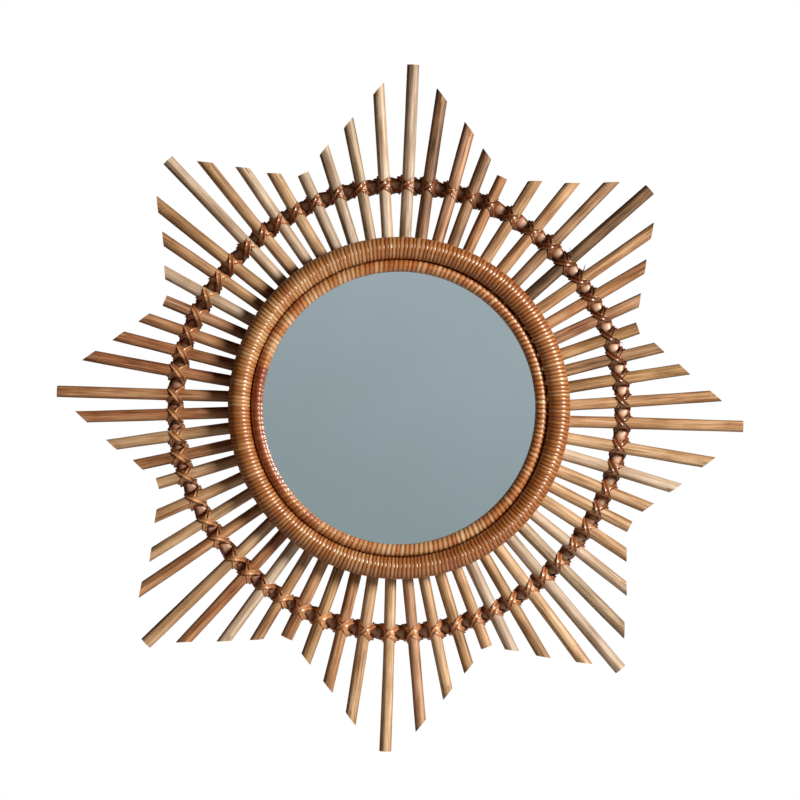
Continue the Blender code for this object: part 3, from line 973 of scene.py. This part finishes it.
# The hoop's fronts get a painted highlight, strongest on the side toward the lamp.
paint_front_highlight(dark_peel, HIGHLIGHT_COLOUR, hoop_depth + HIGHLIGHT_FROM, hoop_depth + HIGHLIGHT_IN_FULL, HOOP_HIGHLIGHT)
shape = wound_shape(
    HOOP_RADIUS, hoop_depth, HOOP_HALF_WIDTH, HOOP_HALF_DEPTH,
    turns=HOOP_TURNS_PER_ROD * ROD_COUNT, rows=8, sides=28, crown=HOOP_CROWN,
    uneven=0.12, seed=21.0, where=between_rods, swell=swelling,
)
hoop = piece("hoop_winding", shape, "hoop_peel", dark_peel)
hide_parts("outer_hoop")


# The lashings.
# Where a rod crosses the hoop the peel is carried over it twice, from corner to corner, and back
# behind the hoop, so that it ties the rod down with an X. The strip curls up at its edges.
LASH_STEPS = 3
LASH_SIDES = 10
LASH_THICKNESS = 0.0008

# One lashing differs from the next in how tall its X is and how wide its strip. The middle of the
# strip strays by up to this many millimetres outward, and by this share as much sideways.
LASH_SEED = 1000
LASH_SPREADS = (0.9, 1.08)
LASH_WIDENINGS = (1.02, 1.28)
LASH_STRAY = 0.35
LASH_STRAY_SIDEWAYS = 0.6

# How far the strip's edges curl up on the rod, and how far forward of the hoop's middle the strip
# begins to turn from lying on the hoop to lying on the rod, in millimetres.
LASH_CURL = 1.3
LASH_LEAVES_HOOP = 3.0

# The length of strip from row to row, how far apart two strips lie in the chance pattern of their
# lines, and how close to the wall a strip may come, in metres.
LASH_ROW_LENGTH = 0.0011
LASH_LINES_STEP = 0.09
LASH_OFF_WALL = 0.00005

# The middle of the strip as it goes once round the X, in millimetres from where the rod's and the
# hoop's middle lines cross: clockwise round the mirror, outward, forward from the hoop's middle.
# The last value is the strip's width.
LASH_PATH = (
    (0.0, 0.0, 15.6, 3.0),
    (3.7, -3.5, 14.2, 3.2),
    (5.6, -5.5, 10.4, 3.4),
    (6.2, -6.7, 5.6, 4.0),
    (6.2, -7.3, 0.0, 4.6),
    (6.0, -4.2, -4.2, 5.0),
    (5.6, 0.0, -4.6, 5.2),
    (5.4, 4.2, -4.2, 5.0),
    (5.2, 7.4, 0.0, 4.6),
    (5.2, 6.9, 5.6, 4.2),
    (4.8, 6.4, 10.4, 3.8),
    (3.1, 3.9, 14.7, 3.8),
    (0.0, 0.6, 16.8, 4.0),
    (-3.7, -2.8, 14.9, 4.4),
    (-6.2, -4.6, 11.2, 4.6),
    (-7.8, -5.4, 7.2, 4.6),
    (-8.2, -6.3, 1.5, 4.8),
    (-7.4, -4.2, -4.2, 5.0),
    (-6.8, 0.0, -4.6, 5.2),
    (-6.4, 4.2, -4.2, 5.0),
    (-6.8, 6.9, 0.0, 4.6),
    (-6.8, 7.3, 5.4, 4.2),
    (-5.8, 6.2, 10.4, 3.8),
    (-3.6, 4.1, 14.2, 3.2),
)

# How pale the strip is at places round the hoop, clockwise from its left side: paler on the left
# and below, away from the lamp, and darkest on the upper right under it, so this holds painted
# light and shade as well as the strip's own tone.
LASH_TONE_AND_LIGHT = (
    (0.0, 0.80), (0.12, 0.56), (0.25, 0.16), (0.40, 0.04), (0.52, 0.12), (0.62, 0.44),
    (0.75, 0.70), (0.90, 0.82), (1.0, 0.80),
)

# How strongly the painted highlight on the strip's curled edges shows at places round the hoop.
LASH_EDGE_HIGHLIGHTS = (
    (0.0, 0.75), (0.2, 0.35), (0.35, 0.20), (0.5, 0.30), (0.65, 0.8), (0.8, 0.9), (1.0, 0.75),
)


def lashing_shape(number):
    """One lashing: a band whose rows are carried round the loop of the X."""
    chance = random.Random(LASH_SEED + number)
    spread = chance.uniform(*LASH_SPREADS)
    widening = chance.uniform(*LASH_WIDENINGS)
    stray = [chance.uniform(-LASH_STRAY, LASH_STRAY) for _ in LASH_PATH]
    forward_rod = (-rod_plane - hoop_depth) * 1000
    points = [
        (x + stray[i] * LASH_STRAY_SIDEWAYS, (y + stray[-i]) * spread, z, width * widening)
        for i, (x, y, z, width) in enumerate(LASH_PATH)
    ]
    rows = len(points) * LASH_STEPS
    stations = [through(points, row / LASH_STEPS) for row in range(rows)]
    at_ring, along = rod_line(number)
    hoop_out = HOOP_RADIUS + out_of_round(crossing_clocks[number])
    crossing = at_ring + along * (hoop_out - ring_high.x)
    across = Vector((0.0, 1.0, 0.0)).cross(along)
    shape, places = band_grid(rows, LASH_SIDES)
    peel = shape.loops.layers.float_vector.new("peel")
    for face in shape.faces:
        face.smooth = True
        for loop in face.loops:
            row, column = places[loop.vert]
            side = sin(column / LASH_SIDES * 2 * pi)
            length = row * LASH_ROW_LENGTH + number * LASH_LINES_STEP
            loop[peel] = Vector((0.5 + 0.5 * side, length, number))
    for vertex, (row, column) in places.items():
        x, y, z, width = stations[row % rows]
        before = Vector(stations[(row - 1) % rows][:3])
        after = Vector(stations[(row + 1) % rows][:3])
        forward = (after - before).normalized()
        on_rod = min(max((z - LASH_LEAVES_HOOP) / (forward_rod - LASH_LEAVES_HOOP), 0.0), 1.0)
        from_rod = Vector((x, 0.0, z - forward_rod)).normalized()
        from_hoop = Vector((0.0, y, z)).normalized()
        outward = from_rod * on_rod + from_hoop * (1.0 - on_rod)
        sideways = outward.cross(forward).normalized()
        outward = forward.cross(sideways)
        side = sin(column / LASH_SIDES * 2 * pi)
        lift = LASH_THICKNESS * 1000 / 2 * cos(column / LASH_SIDES * 2 * pi)
        curl = LASH_CURL * on_rod * (side ** 2 - 0.5)
        place = Vector((x, y, z)) + outward * (lift + curl) + sideways * side * width / 2
        depth = max(place.z / 1000 + hoop_depth, LASH_OFF_WALL)
        vertex.co = crossing + across * place.x / 1000 + along * place.y / 1000
        vertex.co.y -= depth
    bmesh.ops.remove_doubles(shape, verts=shape.verts, dist=MERGE_DISTANCE)
    bmesh.ops.recalc_face_normals(shape, faces=shape.faces)
    return shape


def take_in(whole, part):
    """Add a finished bmesh to another."""
    mesh = mesh_from("part", part)
    whole.from_mesh(mesh)
    bpy.data.meshes.remove(mesh)


lashings = bmesh.new()
lashings.loops.layers.float_vector.new("peel")
for number in range(ROD_COUNT):
    take_in(lashings, lashing_shape(number))
# The lashings' groove colour is pale: the strip's curled edges carry a painted highlight.
lash_peel = glossy_peel(
    "lashing_peel", groove="CC9064", dark="54240F", body="92502C", pale="D8A272",
    lengths=LASH_TONE_AND_LIGHT, edge_tints=LASH_EDGE_HIGHLIGHTS, drift=0.04, streak=0.6, roughness=0.36,
)
lashing = piece("lashings", lashings, "hoop_peel", lash_peel)
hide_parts("outer_hoop")


# The nails.
# Fine steel pins driven through some of the rods beside their lashings. Only their small round
# heads show, brown with age.
NAIL_RADIUS = 0.0009
NAIL_FLATNESS = 0.45
NAIL_SUNK = 0.0001

# The rust's speckles, in repeats a metre: one each 0.7 mm.
RUST_SPECKLES = 1400.0

# The rod that each is driven through, counted clockwise from the top point's, and how far out.
NAILS = (
    (34, 0.1930), (35, 0.1939), (40, 0.1913), (41, 0.1921), (44, 0.1948), (46, 0.1948),
    (48, 0.1948), (50, 0.1965), (52, 0.1939), (55, 0.1939), (56, 0.1887),
)


def aged_steel():
    """Bare steel gone brown: dull, rough, hardly metallic any more."""
    made, tree, shader = surface("aged_steel")
    place = add(tree, "TexCoord").outputs["Object"]
    rust = add(tree, "TexNoise", {"Vector": place, "Scale": RUST_SPECKLES, "Detail": 2.0})
    brown = add(tree, "ValToRGB", {"Fac": rust}, (
        (0.35, "2E1A12"),
        (0.65, "5A4236"),
    ))
    feed(tree, shader, {"Base Color": brown, "Metallic": 0.5, "Roughness": 0.5})
    return made


nails = bmesh.new()
for number, out in NAILS:
    at_ring, along = rod_line(number)
    spot = at_ring + along * (out - ring_high.x) + Vector((0.0, rod_low.y + NAIL_SUNK, 0.0))
    squash = Matrix.Translation(spot) @ Matrix.Diagonal((1.0, NAIL_FLATNESS, 1.0, 1.0))
    bmesh.ops.create_uvsphere(nails, u_segments=16, v_segments=10, radius=NAIL_RADIUS, matrix=squash)
for face in nails.faces:
    face.smooth = True
piece("nails", nails, "hanger_steel", aged_steel())


# The frayed ends.
# Here and there the end of a strip of peel has worked loose from its lashing and stands up as a
# thin pointed sliver.
FRAY_STEPS = 12
FRAY_WIDTH = 0.0011
FRAY_THICKNESS = 0.0004
FRAY_TAPER = 0.9
FRAY_BOW = 0.0006

# Where each sliver starts and ends: its angle from the top in degrees, how far out, how far
# forward of the wall.
FRAYS = (
    ((69.6, 0.1975, 0.0190), (71.6, 0.2035, 0.0235)),
    ((46.8, 0.1990, 0.0190), (44.2, 0.2045, 0.0240)),
    ((51.2, 0.1990, 0.0185), (49.8, 0.2055, 0.0225)),
    ((124.0, 0.1960, 0.0190), (126.6, 0.2020, 0.0230)),
)

frays = bmesh.new()
frays.loops.layers.float_vector.new("peel")
for number, root_and_tip in enumerate(FRAYS):
    start, end = (
        clock_way(radians(turn)) * out + Vector((0.0, -depth, 0.0))
        for turn, out, depth in root_and_tip
    )
    forward = (end - start).normalized()
    sideways = forward.cross(Vector((0.0, -1.0, 0.0))).normalized()
    outward = sideways.cross(forward)
    sliver = bmesh.new()
    bmesh.ops.create_cube(sliver, size=1.0)
    bmesh.ops.subdivide_edges(
        sliver,
        edges=[edge for edge in sliver.edges if abs(edge.verts[0].co.z - edge.verts[1].co.z) > 0.5],
        cuts=FRAY_STEPS,
        use_grid_fill=True,
    )
    for vertex in sliver.verts:
        share = vertex.co.z + 0.5
        taper = 1.0 - FRAY_TAPER * share ** 2
        bow = sin(pi * share) * FRAY_BOW
        vertex.co = (
            start + (end - start) * share + outward * (vertex.co.y * FRAY_THICKNESS * taper + bow)
            + sideways * vertex.co.x * FRAY_WIDTH * taper
        )
    layer = sliver.loops.layers.float_vector.new("peel")
    for face in sliver.faces:
        for loop in face.loops:
            loop[layer] = Vector((0.5, (loop.vert.co - start).length, number))
    take_in(frays, sliver)
piece("frayed_ends", frays, "hoop_peel", lash_peel)


# The mirror.
# A round of 3 mm float glass, silvered behind and painted grey over the silver, with a ground
# edge. What shows of it is nothing but the dusk in the room.
GLASS_FACETS = 144
GLASS_EDGE_BEVEL = 0.0005

# The haze on the silver, in clouds a metre: one each 56 mm.
HAZE = 18.0

# Faces of the round as near as this to its back are painted.
PAINTED_WITHIN = 0.00001


def silvered_glass():
    """Silver seen through glass: a sharp mirror, a little greener and darker than what it shows."""
    made, tree, shader = surface("silvered_glass")
    place = add(tree, "TexCoord").outputs["Object"]
    haze = add(tree, "TexNoise", {"Vector": place, "Scale": HAZE, "Detail": 3.0})
    silver = add(tree, "ValToRGB", {"Fac": haze}, (
        (0.35, "F2F7F5"),
        (0.65, "F8FAFA"),
    ))
    rough = add(tree, "MapRange", {"Value": haze, "To Min": 0.012, "To Max": 0.03})
    feed(tree, shader, {"Base Color": silver, "Metallic": 1.0, "Roughness": rough})
    return made


glass_low, glass_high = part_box("mirror_glass")
shape = plate_shape(GLASS_FACETS, glass_high.x, glass_high.y, glass_low.y, GLASS_EDGE_BEVEL, 1)
for face in shape.faces:
    face.material_index = int(face.calc_center_median().y > glass_high.y - PAINTED_WITHIN)
grey_paint = plain_material("grey_backing_paint", "5B6062", 0.6)
glass = piece("mirror", shape, "mirror_glass", silvered_glass(), grey_paint, sharp=25)
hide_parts("mirror_glass")


# The inner ring.
# A thin cane hoop on the edge of the glass, wound with reddish peel in turns a good four
# millimetres wide. It hides the ground edge and holds the glass down.
INNER_TURNS = 186
INNER_CROWN = 0.0003

# How pale the strip is at places round the ring, clockwise from its left side.
INNER_LENGTHS = (
    (0.0, 0.14), (0.040, 0.14), (0.043, 0.60), (0.12, 0.56), (0.25, 0.60), (0.40, 0.48),
    (0.50, 0.44), (0.62, 0.55), (0.75, 0.70), (0.86, 0.44), (0.92, 0.18), (1.0, 0.14),
)

# How strongly the grooves darken at places round the ring: stain in the joints and painted shade in the
# creases.
INNER_GROOVE_STAIN_AND_SHADE = (
    (0.0, 0.55), (0.10, 0.75), (0.30, 0.90), (0.60, 0.90), (0.80, 0.85), (0.95, 0.60), (1.0, 0.55),
)

inner_low, inner_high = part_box("inner_ring")
inner_half = (inner_high.y - inner_low.y) / 2
red_peel = glossy_peel(
    "inner_ring_peel", groove="621C00", dark="842E0E", body="BE783A", pale="F6DAAA",
    lengths=INNER_LENGTHS, edge_tints=INNER_GROOVE_STAIN_AND_SHADE, drift=0.09, streak=0.5, roughness=0.50,
)
shape = wound_shape(
    inner_high.x - inner_half, -(inner_low.y + inner_high.y) / 2, inner_half, inner_half,
    turns=INNER_TURNS, rows=8, sides=20, crown=INNER_CROWN, uneven=0.3, seed=3.0,
)
inner_ring = piece("inner_ring_winding", shape, "inner_ring_peel", red_peel)
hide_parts("inner_ring")


# The main ring.
# A thick cane hoop that lies on the rods round the glass, wound with golden-brown peel. The
# turns lie close, each a little crowned, and here and there one rides up on the next.
MAIN_TURNS = 256
MAIN_CROWN = 0.00045

# How pale the strip is at places round the ring, clockwise from its left side.
MAIN_LENGTHS = (
    (0.0, 0.50), (0.10, 0.58), (0.20, 0.52), (0.32, 0.44), (0.45, 0.50), (0.55, 0.42),
    (0.68, 0.42), (0.78, 0.54), (0.90, 0.44), (1.0, 0.50),
)

# How strongly the grooves darken at places round the ring: stain in the joints and painted shade in the
# creases.
MAIN_GROOVE_STAIN_AND_SHADE = (
    (0.0, 0.50), (0.12, 0.65), (0.27, 0.95), (0.50, 0.80), (0.72, 1.0), (0.86, 0.85),
    (0.95, 0.55), (1.0, 0.50),
)

ring_half = (ring_high.y - ring_low.y) / 2
gold_peel = glossy_peel(
    "main_ring_peel", groove="541600", dark="78320E", body="B06E32", pale="F6D8A6",
    lengths=MAIN_LENGTHS, edge_tints=MAIN_GROOVE_STAIN_AND_SHADE, drift=0.08, streak=0.6, roughness=0.44,
)
shape = wound_shape(
    ring_high.x - ring_half, -(ring_low.y + ring_high.y) / 2, ring_half, ring_half,
    turns=MAIN_TURNS, rows=8, sides=28, crown=MAIN_CROWN, uneven=0.25, seed=40.0,
)
main_ring = piece("main_ring_winding", shape, "main_ring_peel", gold_peel)
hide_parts("main_ring")
